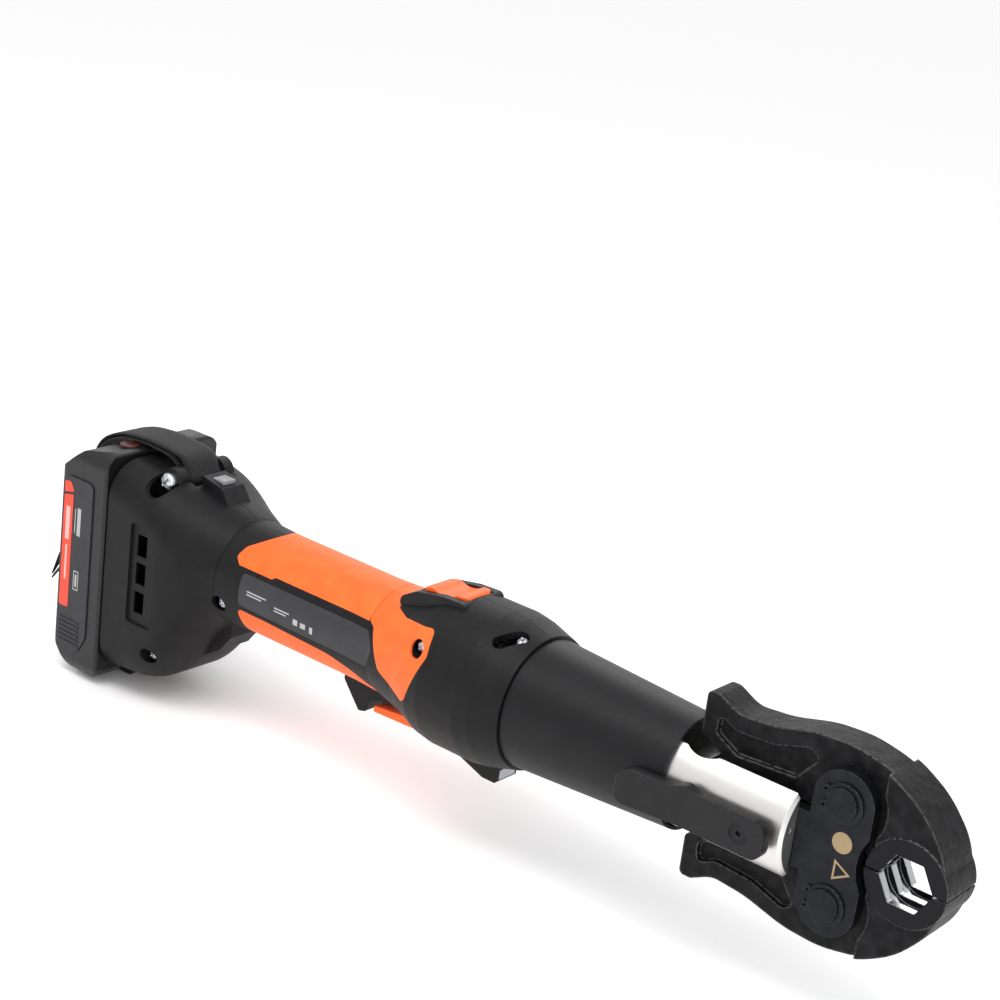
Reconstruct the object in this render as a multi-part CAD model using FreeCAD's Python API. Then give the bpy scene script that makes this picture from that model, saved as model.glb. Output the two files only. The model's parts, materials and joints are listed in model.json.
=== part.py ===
"""Inline cordless press tool with a two-jaw set pinned in its rotating fork.

Working frame: X runs forward along the tool's axis to the jaws, Y to the left, Z up, and X = 0 is
the joint between the collar and the barrel sleeve. At export every piece is moved so that the
origin lies under the middle of the tool, at the level of the battery's foot.
"""

import FreeCAD
import Part
import math
import os

V = FreeCAD.Vector

# ---- driving dimensions, mm ----
SKIN = 1.5             # thickness of the soft grips and label panels laid over the housing
WALL = 2.3             # housing wall under the skin
BULB_WALL = 2.5        # wall of the rear bulb
FIT = 0.05             # radial clearance of a running fit
GAP = 0.4              # clearance round a button, trigger or latch

BODY_REAR = -186.0     # neck ring where the handle meets the rear bulb
MOUNT_REAR = -256.0    # rear face of the battery mount
BATTERY_FRONT = -257.0
BATTERY_REAR = -291.0
BATTERY_HALF = 37.5    # half width of the battery
FOOT_Z = -80.0         # lowest face, the foot under the battery
STRAP_TIP = (-334.0, -46.0)
STRAP_WIDTH = 22.0
STRAP_THICK = 2.4

SLEEVE_R0, SLEEVE_R1, SLEEVE_END = 30.8, 26.2, 84.2
SLEEVE_BORE = 24.8
FORK_R, FORK_BACK, FORK_FRONT = 24.0, 38.0, 143.6
SLOT_HALF, SLOT_BACK = 14.3, 54.0
CYLINDER_R, BORE_R, ROD_R = 23.0, 17.0, 8.5
NECK_R = 15.0          # swivel journal on the front of the cylinder

PIN_X, PIN_R = 127.6, 6.0          # retaining pin of the jaw set
JAW_PIN_DX, JAW_PIN_Z, JAW_PIN_R = 35.0, 23.0, 6.95
MOUTH_DX = 67.0                    # mouth centre ahead of the retaining pin
MOUTH_FLATS = 21.5                 # hexagonal press profile, across flats
MOUTH_RING_R = 18.5
GROOVE_R, GROOVE_WIDE = 13.4, 6.0
SPLIT = 0.5                        # half of the gap between the closed jaws
JAW_HALF = 8.0                     # half thickness of the jaw levers
BLOCK_HALF = 11.5                  # half thickness of the mouth blocks
PLATE_IN, PLATE_OUT = 8.3, 13.8    # faces of a side plate
JAW_OPEN_DEG = 12.6
ROLLER_DX, ROLLER_Z, ROLLER_R = -23.6, 7.05, 7.0

MIDDLE_X = -60.0                   # half way from the strap's tip to the front of the jaws
ORIGIN = V(MIDDLE_X, 0, FOOT_Z)


# ---- helpers ----
def box(x0, x1, y0, y1, z0, z1):
    return Part.makeBox(x1 - x0, y1 - y0, z1 - z0, V(x0, y0, z0))


def cyl_x(r, x0, x1, y=0, z=0):
    return Part.makeCylinder(r, x1 - x0, V(x0, y, z), V(1, 0, 0))


def cyl_y(r, y0, y1, x, z):
    return Part.makeCylinder(r, y1 - y0, V(x, y0, z), V(0, 1, 0))


def cyl_z(r, z0, z1, x, y):
    return Part.makeCylinder(r, z1 - z0, V(x, y, z0), V(0, 0, 1))


def tube_x(r_out, r_in, x0, x1):
    return cyl_x(r_out, x0, x1).cut(cyl_x(r_in, x0 - 1, x1 + 1))


def joined(shapes):
    first = shapes[0]
    return first.fuse(shapes[1:]).removeSplitter() if len(shapes) > 1 else first


def outline(points):
    """Closed wire through (a, b, corner radius) points in the XZ plane."""
    n = len(points)
    legs = []
    for i, (a, b, r) in enumerate(points):
        here = V(a, 0, b)
        before = (V(points[i - 1][0], 0, points[i - 1][1]) - here).normalize()
        after = (V(points[(i + 1) % n][0], 0, points[(i + 1) % n][1]) - here).normalize()
        half = before.getAngle(after) / 2
        if r <= 0 or half > 1.56:
            legs.append((here, here, here))
            continue
        back = r / math.tan(half)
        middle = here + (before + after).normalize() * (r / math.sin(half) - r)
        legs.append((here + before * back, middle, here + after * back))
    edges = []
    for i, (start, middle, end) in enumerate(legs):
        if (end - start).Length > 1e-6:
            edges.append(Part.Arc(start, middle, end).toShape())
        nxt = legs[(i + 1) % n][0]
        if (nxt - end).Length > 1e-6:
            edges.append(Part.LineSegment(end, nxt).toShape())
    return Part.Wire(edges)


def prism_y(points, y0, y1):
    """An XZ outline, with corner radii, carried from y0 to y1."""
    points = [p if len(p) == 3 else (p[0], p[1], 0) for p in points]
    face = Part.Face(outline(points))
    face.translate(V(0, y0, 0))
    return face.extrude(V(0, y1 - y0, 0))


def prism_z(points, z0, z1):
    """An XY outline, with corner radii, carried from z0 to z1."""
    solid = prism_y([p if len(p) == 3 else (p[0], p[1], 0) for p in points], -z1, -z0)
    solid.rotate(V(0, 0, 0), V(1, 0, 0), -90)
    return solid


def prism_x(points, x0, x1):
    """A YZ outline, with corner radii, carried from x0 to x1."""
    solid = prism_y(points, -x1, -x0)
    solid.rotate(V(0, 0, 0), V(0, 0, 1), 90)
    return solid


def revolve_x(profile):
    """(x, r) points turned about the X axis."""
    wire = Part.makePolygon([V(x, 0, r) for x, r in profile + profile[:1]])
    return Part.Face(wire).revolve(V(0, 0, 0), V(1, 0, 0), 360)


def mirrored_z(shape):
    return shape.mirror(V(0, 0, 0), V(0, 0, 1))


def halves(shape):
    """The right (-Y) and left (+Y) halves of a shape."""
    return shape.common(box(-400, 300, -80, 0, -120, 120)), shape.common(box(-400, 300, 0, 80, -120, 120))


# ---- housing ----
HANDLE = [(BODY_REAR, 27.3), (-170, 26.5), (-100, 26.3), (-84, 27), (-66, 31), (-52, 36.2),
          (-44, 37.4), (-22, 37.4), (-14, 36.2), (0, 32.2)]
# rear bulb sections: x, half width, lowest, highest, corner radius
BULB = [(BODY_REAR, 27.2, -27.2, 27.2, 27.0), (-196, 29.5, -36, 31, 28), (-208, 34, -52, 34, 28),
        (-220, 36, -64, 37.5, 24), (-240, 36.5, -70, 41, 20), (MOUNT_REAR, 36.5, -71, 43, 18)]


def handle_body(inset):
    ring = [(x, r - inset) for x, r in HANDLE]
    return revolve_x([(HANDLE[0][0], 0)] + ring + [(HANDLE[-1][0], 0)])


def rounded_section(x, half, low, high, corner, inset):
    half, low, high, corner = half - inset, low + inset, high - inset, corner - inset
    wire = outline([(half, low, corner), (half, high, corner), (-half, high, corner), (-half, low, corner)])
    wire.rotate(V(0, 0, 0), V(0, 0, 1), 90)
    wire.translate(V(x, 0, 0))
    return wire


def bulb_body(inset):
    smoothness = 3
    wires = [rounded_section(*section, inset) for section in BULB]
    return Part.makeLoft(wires, True, False, False, smoothness)


FULL = handle_body(0)
CORE = handle_body(SKIN)
SKIN_SHELL = FULL.cut(CORE)
HANDLE_CAVITY = handle_body(SKIN + WALL)

TOP_GRIP = prism_y([(-88, 14.5), (-150, 14.5, 1), (-152, 13.2, 1), (-174, 13.2, 2), (-178, 16.5, 2),
                    (-176, 21, 3), (-166, 27, 3), (-160, 40), (-88, 40)], -40, 40)
FRONT_GRIP = prism_y([(-87.8, 40), (-87.8, 15, 2), (-84, 13, 3), (-74.5, -4, 4), (-55, -11, 2),
                      (-51.6, -8, 2), (-42.3, 15.7, 5), (-45, 26.6, 3), (-67.5, 22.8, 5),
                      (-77, 24, 2), (-78, 40)], -40, 40)
LOW_GRIP = prism_y([(-171, -8, 3), (-150, -8.2), (-110, -10, 30), (-95, -14, 20), (-80, -21, 20),
                    (-64, -30, 6), (-58, -40), (-171, -40)], -40, 40)
LABEL = prism_y([(-170, -5.5, 2), (-170, 11, 2), (-86, 11, 3), (-81, 3, 3), (-84, -6.5, 3)], -40, 40)

# thumb pad and release button on top
PAD = prism_y([(-77, 20), (-78.5, 28.4, 4), (-69, 33.8, 6), (-54, 36.6, 8), (-40, 37.3, 3), (-38, 20)], -14, 14)
PAD = PAD.cut(CORE)
BUTTON_POCKET = box(-69 - GAP, -43 + GAP, -9.5 - GAP, 9.5 + GAP, 28.3, 60)
TRIGGER_SLOT = box(-114.5, -67, -8.6, 8.6, -60, -18)
TRIGGER_PIVOT = (-72.0, -24.0)

# housing screws along Y: x, z, head face, far end
SCREWS = [(-184, -10, -22.6, -19.4), (-222, -50, -30.5, -20.0), (-50, 16.6, -28.5, -24.0)]
SCREW_HEAD_R, SCREW_R = 3.1, 1.5
SCREW_WELL_R = 4.2
HEAD_TALL = 2.0
STRAP_BAR = (-231.0, 38.0)
BAR_R = 2.5


def screw_bores():
    bores = [cyl_y(SCREW_WELL_R, -60, face + HEAD_TALL, x, z) for x, z, face, end in SCREWS]
    bores += [cyl_y(SCREW_R + FIT, -60, end + 1, x, z) for x, z, face, end in SCREWS]
    return bores


def collar_recess():
    """Elongated pocket in the collar, from the screw down and back round the curve."""
    cutters = []
    for i in range(5):
        angle = math.radians(71 - 3.5 * i)
        out = V(0, -math.cos(angle), math.sin(angle))
        cutters.append(Part.makeCylinder(3.4, 20, V(-8 - 1.4 * i, 0, 0) + out * (29.6 + 0.7 * i), out))
    return cutters


def bulb_shell():
    x, z = STRAP_BAR
    outer, inner = bulb_body(0), bulb_body(BULB_WALL)
    ears = [cyl_y(7, y0, y0 + 6, x, z).fuse(box(x - 9, x + 9, y0, y0 + 6, 26, z)) for y0 in (-18, 12)]
    floor = box(x - 11, x + 11, -12.5, 12.5, 28.5, 31).common(outer)
    lamp_bump = prism_y([(-226, 34), (-221, 42.6, 1.5), (-206, 39.6, 1.5), (-198, 29)], -7.5, 7.5)
    hook = prism_y([(-216, -56), (-196, -43.5, 3), (-188.5, -34, 3), (-188.5, -26), (-204, -36)], -10, 10)
    solid = outer.fuse([ears[0], ears[1], lamp_bump, hook]).cut(inner)
    boss_x, boss_z = SCREWS[1][0], SCREWS[1][1]
    extra = [cyl_y(5.8, -40, -19, boss_x, boss_z).common(outer), floor]
    extra += [ear.common(outer) for ear in ears]
    solid = solid.fuse(extra)
    cuts = [box(x - 11, x + 11, -11.8, 11.8, 31, 60), cyl_y(6.5, -60, -18, x, z),
            cyl_y(BAR_R + FIT, -19, 16, x, z), box(-216.5, -208.5, -4.2, 4.2, 38.6, 60)]
    for side in (-1, 1):
        y0, y1 = sorted((side * 30, side * 40))
        cuts += [box(-234, -227, y0, y1, z0, z0 + 11.4) for z0 in (1, -14, -29.5)]
        y0, y1 = sorted((side * 35.2, side * 40))
        cuts.append(prism_y([(-238, 17.7, 2), (-221, 17.7, 1), (-221, -35.4, 1), (-238, -35.4, 2)], y0, y1))
    return solid.cut(cuts + screw_bores())


MOUNT_SEAM = prism_y([(-262, 50), (-236, 50), (-246, 30, 20), (-251, 12, 20), (-251, -43, 4),
                      (-228, -75), (-262, -75)], -60, 60)


def housing():
    grips = [TOP_GRIP, FRONT_GRIP, LOW_GRIP, LABEL]
    bosses = [cyl_y(5.6, face - 1, end, x, z).common(CORE) for x, z, face, end in (SCREWS[0], SCREWS[2])]
    tube = CORE.fuse(FULL.cut(grips)).cut(HANDLE_CAVITY).fuse(bosses)
    cuts = screw_bores() + collar_recess() + [BUTTON_POCKET, PAD, TRIGGER_SLOT]
    cuts.append(cyl_y(2 + FIT, -11.1, 11.1, *TRIGGER_PIVOT))
    return tube.cut(cuts)


def grip(region, extra=()):
    return SKIN_SHELL.common(region).cut([PAD, TRIGGER_SLOT] + screw_bores() + list(extra))


def battery_mount():
    ring = bulb_shell().common(MOUNT_SEAM)
    plate = bulb_body(BULB_WALL).common(box(MOUNT_REAR, -251, -60, 60, -90, 60))
    channel = box(MOUNT_REAR - 1, -253.6, -20.4, 20.4, -90, 20.4)
    ports = [box(-260, -240, y - 1.2, y + 1.2, -8, 8) for y in (-12, -4, 4, 12)]
    return ring.fuse(plate).cut([channel] + ports)


def terminal_block():
    block = box(-250.8, -243, -17, 17, -12, 12)
    blades = [box(-252.8, -250.8, y - 0.5, y + 0.5, -6, 6) for y in (-12, -4, 4, 12)]
    return block.fuse(blades)


def screw(x, z, face, end):
    head = cyl_y(SCREW_HEAD_R, face, face + HEAD_TALL, x, z)
    return head.fuse(cyl_y(SCREW_R, face + HEAD_TALL, end, x, z))


def collar_screw():
    angle = math.radians(71)
    out = V(0, -math.cos(angle), math.sin(angle))
    return Part.makeCylinder(2.9, 2.4, V(-8, 0, 0) + out * 29.7, out)


def strap():
    """The strap's middle line from the bar over the battery and down behind it, given its thickness."""
    line = [(-226.5, 44), (-233, 49), (-246, 51.5), (-264, 51.5), (-281, 48.5), (-294, 39), (-302, 20),
            (-312, -8), (-322, -28), STRAP_TIP]
    sides = ([], [])
    for i, (x, z) in enumerate(line):
        x0, z0 = line[max(i - 1, 0)]
        x1, z1 = line[min(i + 1, len(line) - 1)]
        length = math.hypot(x1 - x0, z1 - z0)
        nx, nz = (z1 - z0) / length * STRAP_THICK / 2, -(x1 - x0) / length * STRAP_THICK / 2
        sides[0].append((x + nx, z + nz))
        sides[1].append((x - nx, z - nz))
    half = STRAP_WIDTH / 2
    band = prism_y(sides[0] + sides[1][::-1], -half, half)
    x, z = STRAP_BAR
    loop = cyl_y(BAR_R + FIT + STRAP_THICK, -half, half, x, z)
    web = prism_y([(x, z), (x + 4.9, z), (-225.4, 44.8), (-231, 46.5)], -half, half)
    return loop.fuse([web, band]).cut(cyl_y(BAR_R + FIT, -20, 20, x, z))


# ---- battery ----
PACK_SIDE = [(BATTERY_REAR, -64, 3), (BATTERY_REAR, 31.5, 4), (-277, 43.5, 5), (-262, 46, 3),
             (BATTERY_FRONT, 46, 2), (BATTERY_FRONT, -72, 3), (-264, -78, 3), (-279, -78, 4)]
PACK_SPLIT = -274.0
CELL_R, CELL_LENGTH, CELL_PITCH = 9.15, 65.0, 18.8
LATCH = (-268.0, -261.0, 8.0)      # x range and half width


def pack_shell():
    half = BATTERY_HALF
    above = [(BATTERY_REAR - 1, -half, 4), (BATTERY_REAR - 1, half, 4), (BATTERY_FRONT + 1, half, 3),
             (BATTERY_FRONT + 1, -half, 3)]
    behind = [(-half, -79, 9), (-half, 46, 9), (half, 46, 9), (half, -79, 9)]
    solid = prism_y(PACK_SIDE, -half, half).common(prism_z(above, -90, 60)).common(prism_x(behind, -300, -250))
    inner = prism_y([(BATTERY_REAR + 2.2, -62), (BATTERY_REAR + 2.2, 26), (-276, 38), (-262, 42.6),
                     (BATTERY_FRONT - 2.2, 42.6), (BATTERY_FRONT - 2.2, -71), (-265, -75.6), (-278, -75.6)],
                    -half + 2.4, half - 2.4)
    return solid.cut(inner)


def battery_parts():
    shell = pack_shell()
    cover = shell.common(box(-300, PACK_SPLIT, -60, 60, -90, 60))
    rail = box(BATTERY_FRONT - 0.5, -254.0, -20, 20, -40, 20)
    x0, x1, half = LATCH
    foot = box(-271, -258.5, -12, 12, FOOT_Z, -77).cut(box(x0 - GAP, x1 + GAP, -half - GAP, half + GAP, -90, -70))
    base = shell.cut(box(-300, PACK_SPLIT, -60, 60, -90, 60)).fuse([rail, foot])
    base = base.cut([box(x0 - GAP, x1 + GAP, -half - GAP, half + GAP, -90, -70),
                     cyl_z(5 + FIT, 40, 50, -266.5, -15)])
    sides = []
    for side in (-1, 1):
        y0, y1 = sorted((side * (BATTERY_HALF - 0.9), side * (BATTERY_HALF + 0.7)))
        panel = [(-288.6, -63, 3), (-288.6, 24.5, 3), (-284, 28.5, 3), (-266, 28.5, 4), (-266, -56, 5), (-272, -66, 4)]
        stripe = [(-287.2, -43, 1.5), (-287.2, 17.6, 0.5), (-280.4, 19.2, 0.5), (-280.4, -43, 1.5)]
        tip = [(-287.2, 19, 0.5), (-287.2, 25, 1), (-283, 25.6, 1), (-280.4, 21.6, 0.5), (-280.4, 20.6, 0.3)]
        recess = prism_y(panel, y0, y1)
        depth = sorted((side * (BATTERY_HALF + 0.1), side * (BATTERY_HALF + 0.85)))
        inlay = Part.makeCompound([prism_y(stripe, *depth), prism_y(tip, *depth)])
        sides.append((recess, inlay))
    cuts = [pair[0] for pair in sides]
    return cover.cut(cuts), base.cut(cuts), [(p.cut(s), s) for p, s in sides]


def cells():
    return [cyl_y(CELL_R, -CELL_LENGTH / 2, CELL_LENGTH / 2, -274, -57.5 + CELL_PITCH * i) for i in range(5)]


# ---- barrel, fork and drive ----
def barrel_sleeve():
    outer = [(0.4, SLEEVE_R0), (SLEEVE_END, SLEEVE_R1)]
    inner = [(SLEEVE_END, SLEEVE_BORE), (60, SLEEVE_BORE), (0.4, SLEEVE_R0 - 2.6)]
    return revolve_x(outer + inner)


def fork():
    solid = revolve_x([(FORK_BACK, 0), (FORK_BACK, FORK_R - 1), (FORK_BACK + 1, FORK_R),
                       (FORK_FRONT - 1.5, FORK_R), (FORK_FRONT, FORK_R - 1.5), (FORK_FRONT, 0)])
    slot = box(SLOT_BACK, FORK_FRONT + 1, -SLOT_HALF, SLOT_HALF, -30, 30)
    ends = [cyl_z(16.5, z0, z0 + 22, 95.5, 0) for z0 in (-30, 8)]
    cuts = [slot, cyl_x(ROD_R + 0.5, 30, 60), cyl_x(NECK_R + FIT, 30, 46.3),
            cyl_y(PIN_R + FIT, -30, 30, PIN_X, 0), cyl_x(1.3, FORK_FRONT - 6, FORK_FRONT + 1, -19, 4)]
    return solid.cut(cuts + ends)


def cylinder():
    body = cyl_x(CYLINDER_R, -19.8, 36).fuse(cyl_x(NECK_R, 36, 46))
    return body.cut([cyl_x(BORE_R, -12, 34), cyl_x(ROD_R + FIT, 30, 50)])


def carriage():
    x = PIN_X + ROLLER_DX
    block = box(x - 20, x - 12, -13, 13, -10.8, 10.8)
    cheeks = [box(x - 12, x + 8, y0, y0 + 4, -10.8, 10.8) for y0 in (-13, 9)]
    holes = [cyl_y(3 + FIT, -20, 20, x, z) for z in (-ROLLER_Z, ROLLER_Z)]
    return block.fuse(cheeks).cut(holes + [cyl_x(4 + FIT, x - 21, x - 14)])


def piston_rod():
    x = PIN_X + ROLLER_DX
    piston = cyl_x(BORE_R - FIT, 20, 30)
    return piston.fuse([cyl_x(ROD_R, 30, x - 20), cyl_x(4, x - 20, x - 14)])


def roller_pins():
    x = PIN_X + ROLLER_DX
    return [cyl_y(3, -12.8, 12.8, x, z) for z in (-ROLLER_Z, ROLLER_Z)]


def roller(z):
    x = PIN_X + ROLLER_DX
    return cyl_y(ROLLER_R, -8.5, 8.5, x, z).cut(cyl_y(3 + FIT, -10, 10, x, z))


def motor_can():
    can = tube_x(21.5, 14.0, -173, -127)
    caps = [cyl_x(21.5, x, x + 3) for x in (-176, -127)]
    return can.fuse(caps).cut(cyl_x(2.5 + FIT, -180, -120))


def rotor():
    return cyl_x(2.5, -187, -118).fuse([cyl_x(13.4, -170, -130), cyl_x(4.5, -172, -170)])


def fan():
    hub = tube_x(6, 2.5 + FIT, -186, -179)
    rim = cyl_x(17.5, -180.6, -179).cut(cyl_x(5.5, -190, -170))
    blades = []
    for i in range(9):
        blade = box(-186, -180.4, -0.6, 0.6, 5.5, 17)
        blade.rotate(V(0, 0, 0), V(1, 0, 0), 40 * i)
        blades.append(blade)
    return hub.fuse([rim] + blades)


def gearbox_case():
    return cyl_x(17, -123.8, -84).cut([cyl_x(6, -123.9, -112), cyl_x(5 + FIT, -100, -80)])


def eccentric_shaft():
    shaft = cyl_x(5, -96, -78).fuse([cyl_x(7, -78, -70, z=1.5), cyl_x(4, -70, -58)])
    return shaft


def pump_block():
    block = cyl_x(26, -62, -20)
    return block.cut([cyl_x(4 + FIT, -63, -56), box(-63, -50, -30, 30, -40, -21)])


# ---- jaw set, placed from the retaining pin ----
def jaw_outline():
    half_flat, corner = MOUTH_FLATS / 2, MOUTH_FLATS / math.sqrt(3)
    slope = SPLIT / math.sqrt(3)
    m = MOUTH_DX
    back = [(-38.5, 24.4, 3), (-38.5, 43.4, 2.5), (-32.5, 43.4, 4), (-22, 38, 14), (-5, 39.5, 60),
            (15, 44.8, 60), (33, 45.8, 50), (52, 42, 45), (68, 32.5, 45), (79.5, 19, 32), (83.8, 6, 20),
            (83.8, SPLIT, 0.4)]
    mouth = [(m + corner - slope, SPLIT, 0), (m + corner / 2, half_flat, 1), (m - corner / 2, half_flat, 1),
             (m - corner + slope, SPLIT, 0)]
    belly = [(50.5, SPLIT, 0), (45, 4, 3), (30, 10, 8), (20, 13.5, 6), (10, 14.4, 6), (-22, 14.4, 6)]
    return [(PIN_X + x, z, r) for x, z, r in back + mouth + belly]


def jaw_pin_axis():
    return PIN_X + JAW_PIN_DX, JAW_PIN_Z


def plate_blank(grow, y0, y1):
    """Side plate outline: two lobes round the jaw pins and a tongue to the retaining pin."""
    px, pz = jaw_pin_axis()
    r = 14.0 + grow
    lobes = [cyl_y(r, y0, y1, px, z) for z in (-pz, pz)]
    middle = box(px - r, px + r, y0, y1, -pz, pz).cut(cyl_y(21.5 - grow, y0 - 1, y1 + 1, PIN_X + MOUTH_DX, 0))
    tongue = box(PIN_X, px - 5, y0, y1, -13 - grow, 13 + grow)
    nose = cyl_y(13 + grow, y0, y1, PIN_X, 0)
    return joined([lobes[0], lobes[1], middle, tongue, nose])


def plate_sweep(y0, y1):
    """Room for a side plate in the upper jaw, from closed to fully open."""
    px, pz = jaw_pin_axis()
    shapes = []
    for i in range(4):
        room = plate_blank(0.8, y0, y1)
        room.rotate(V(px, 0, pz), V(0, 1, 0), JAW_OPEN_DEG * i / 3)
        shapes.append(room)
    return shapes


def upper_jaw():
    px, pz = jaw_pin_axis()
    m = PIN_X + MOUTH_DX
    flat = prism_y(jaw_outline(), -BLOCK_HALF, BLOCK_HALF)
    side = [box(PIN_X - 60, PIN_X + 51, y0, y0 + 10, -60, 60) for y0 in (JAW_HALF, -JAW_HALF - 10)]
    block_edge = [cyl_y(18.6, y0, y0 + 10, px, pz) for y0 in (JAW_HALF, -JAW_HALF - 10)]
    solid = flat.cut(side + block_edge)
    ring = cyl_y(MOUTH_RING_R, -BLOCK_HALF - 0.7, BLOCK_HALF + 0.7, m, 0)
    ring = ring.common(box(m - 30, m + 30, -20, 20, SPLIT, 40))
    hexagon = prism_y([(PIN_X + x, z, r) for x, z, r in hex_points()], -20, 20)
    grooves = [cyl_y(GROOVE_R, y0, y0 + GROOVE_WIDE, m, 0) for y0 in (-2 - GROOVE_WIDE, 2)]
    pocket = [(-31.5, 26, 2), (-31, 35, 2.5), (-22, 30.5, 6), (-4, 31.5, 14), (13, 37, 4), (18, 33.5, 2),
              (9, 22, 2), (-20, 20, 3)]
    pocket = [(PIN_X + x, z, r) for x, z, r in pocket]
    cuts = [hexagon, cyl_y(JAW_PIN_R + FIT, -20, 20, px, pz)] + grooves
    cuts += [prism_y(pocket, y0, y0 + 5) for y0 in (JAW_HALF - 2.5, -JAW_HALF - 2.5)]
    cuts += plate_sweep(JAW_HALF, 20) + plate_sweep(-20, -JAW_HALF)
    return solid.fuse(ring).cut(cuts)


def hex_points():
    corner = MOUTH_FLATS / math.sqrt(3)
    return [(MOUTH_DX + corner * math.cos(math.radians(60 * i)), corner * math.sin(math.radians(60 * i)), 0.6)
            for i in range(6)]


def side_plate(side):
    px, pz = jaw_pin_axis()
    y0, y1 = sorted((side * PLATE_IN, side * PLATE_OUT))
    holes = [cyl_y(JAW_PIN_R + FIT, -20, 20, px, z) for z in (-pz, pz)]
    return plate_blank(0, y0, y1).cut(holes + [cyl_y(PIN_R + FIT, -20, 20, PIN_X, 0)])


def circlip(side, z):
    """Open ring with two eyed ears on the side towards the fork."""
    px = jaw_pin_axis()[0]
    y0, y1 = sorted((side * (PLATE_OUT + 0.02), side * (PLATE_OUT + 1.1)))
    ring = cyl_y(8.9, y0, y1, px + 0.4, z).cut(cyl_y(JAW_PIN_R + FIT, y0 - 1, y1 + 1, px, z))
    ring = ring.cut(box(px - 20, px - 4, y0 - 1, y1 + 1, z - 2, z + 2))
    ears = []
    for dz in (-3.6, 3.6):
        ear = cyl_y(2.0, y0, y1, px - 8.0, z + dz)
        ears.append(ear.cut(cyl_y(JAW_PIN_R + FIT, y0 - 1, y1 + 1, px, z)))
    holes = [cyl_y(0.7, y0 - 1, y1 + 1, px - 8.4, z + dz) for dz in (-3.6, 3.6)]
    return ring.fuse(ears).cut(holes)


# ---- retaining pin and its lever ----
def pin_lever():
    front = PIN_X
    side = prism_y([(front + 12, 8.6, 6), (front - 22, 8.4, 12), (front - 28.5, 10.2, 4), (front - 34, 7.6, 10),
                    (front - 60, 8.2, 7), (front - 60, -8.4, 6), (front - 20, -8.8, 20), (front + 12, -8.8, 6)],
                   -40, -20)
    above = prism_z([(front + 14, -26.6), (front + 14, -31.6), (front - 28, -31.6, 20), (front - 44, -33.8, 20),
                     (front - 60, -36.4, 1), (front - 60, -31.4, 1), (front - 44, -28.8, 20), (front - 31, -26.6, 20)],
                    -20, 20)
    return side.common(above).cut([cyl_y(2.3, -40, -20, front, 0), cyl_y(4.6, -40, -29.4, front, 0)])


def lever_screw():
    head = cyl_y(4.5, -31.4, -29.4, PIN_X, 0).fuse(cyl_y(2.2, -29.4, -18, PIN_X, 0))
    corner = 1.45
    socket = [(PIN_X + corner * math.cos(math.radians(60 * i)), corner * math.sin(math.radians(60 * i)))
              for i in range(6)]
    return head.cut(prism_y(socket, -32, -29.8))


def retaining_pin():
    rod = cyl_y(PIN_R, -26.4, 26, PIN_X, 0)
    return rod.cut(cyl_y(2.2 + FIT, -27, -17, PIN_X, 0))


# ---- controls ----
def trigger():
    lever = prism_y([(-112.4, -24.6, 1), (-112.4, -28, 2), (-101.5, -40.6, 1.5), (-97, -39.5, 1.5), (-94.5, -33.4, 3),
                     (-88, -30.6, 4), (-70.5, -28.6, 2), (-68, -25, 1), (-69.5, -21.6, 2), (-75, -21.4, 2), (-84, -24.6)],
                    -8, 8)
    return lever.cut(cyl_y(2 + FIT, -20, 20, *TRIGGER_PIVOT))


def trigger_guard():
    guard = prism_y([(-91.5, -37.2, 1), (-91.5, -34.2, 1), (-72, -32.2, 6), (-60, -30), (-56, -36.4, 3),
                     (-66, -36.2, 10)], -8.5, 8.5)
    return guard.cut([FULL, box(-66.8, -50, -9, 9, -33, -20)])


def release_button():
    side = prism_y([(-69, 31), (-69, 35.2, 1.5), (-64, 36.4, 2), (-43, 38.2, 2), (-43, 31)], -9.5, 9.5)
    plan = prism_z([(-69, -9.5, 3), (-69, 9.5, 3), (-43, 9.5, 3), (-43, -9.5, 3)], 30, 40)
    return side.common(plan).cut(cyl_y(14, -20, 20, -56.5, 49.2))


def work_lamp():
    body = prism_y([(-43, -34), (-43, -37.2, 1), (-23, -44.2, 1.5), (-15, -44.2, 1), (-14, -30)], -7.5, 7.5)
    return body.cut([FULL, box(-16.6, -10, -5.6, 5.6, -42.8, -37.8)])


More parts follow.
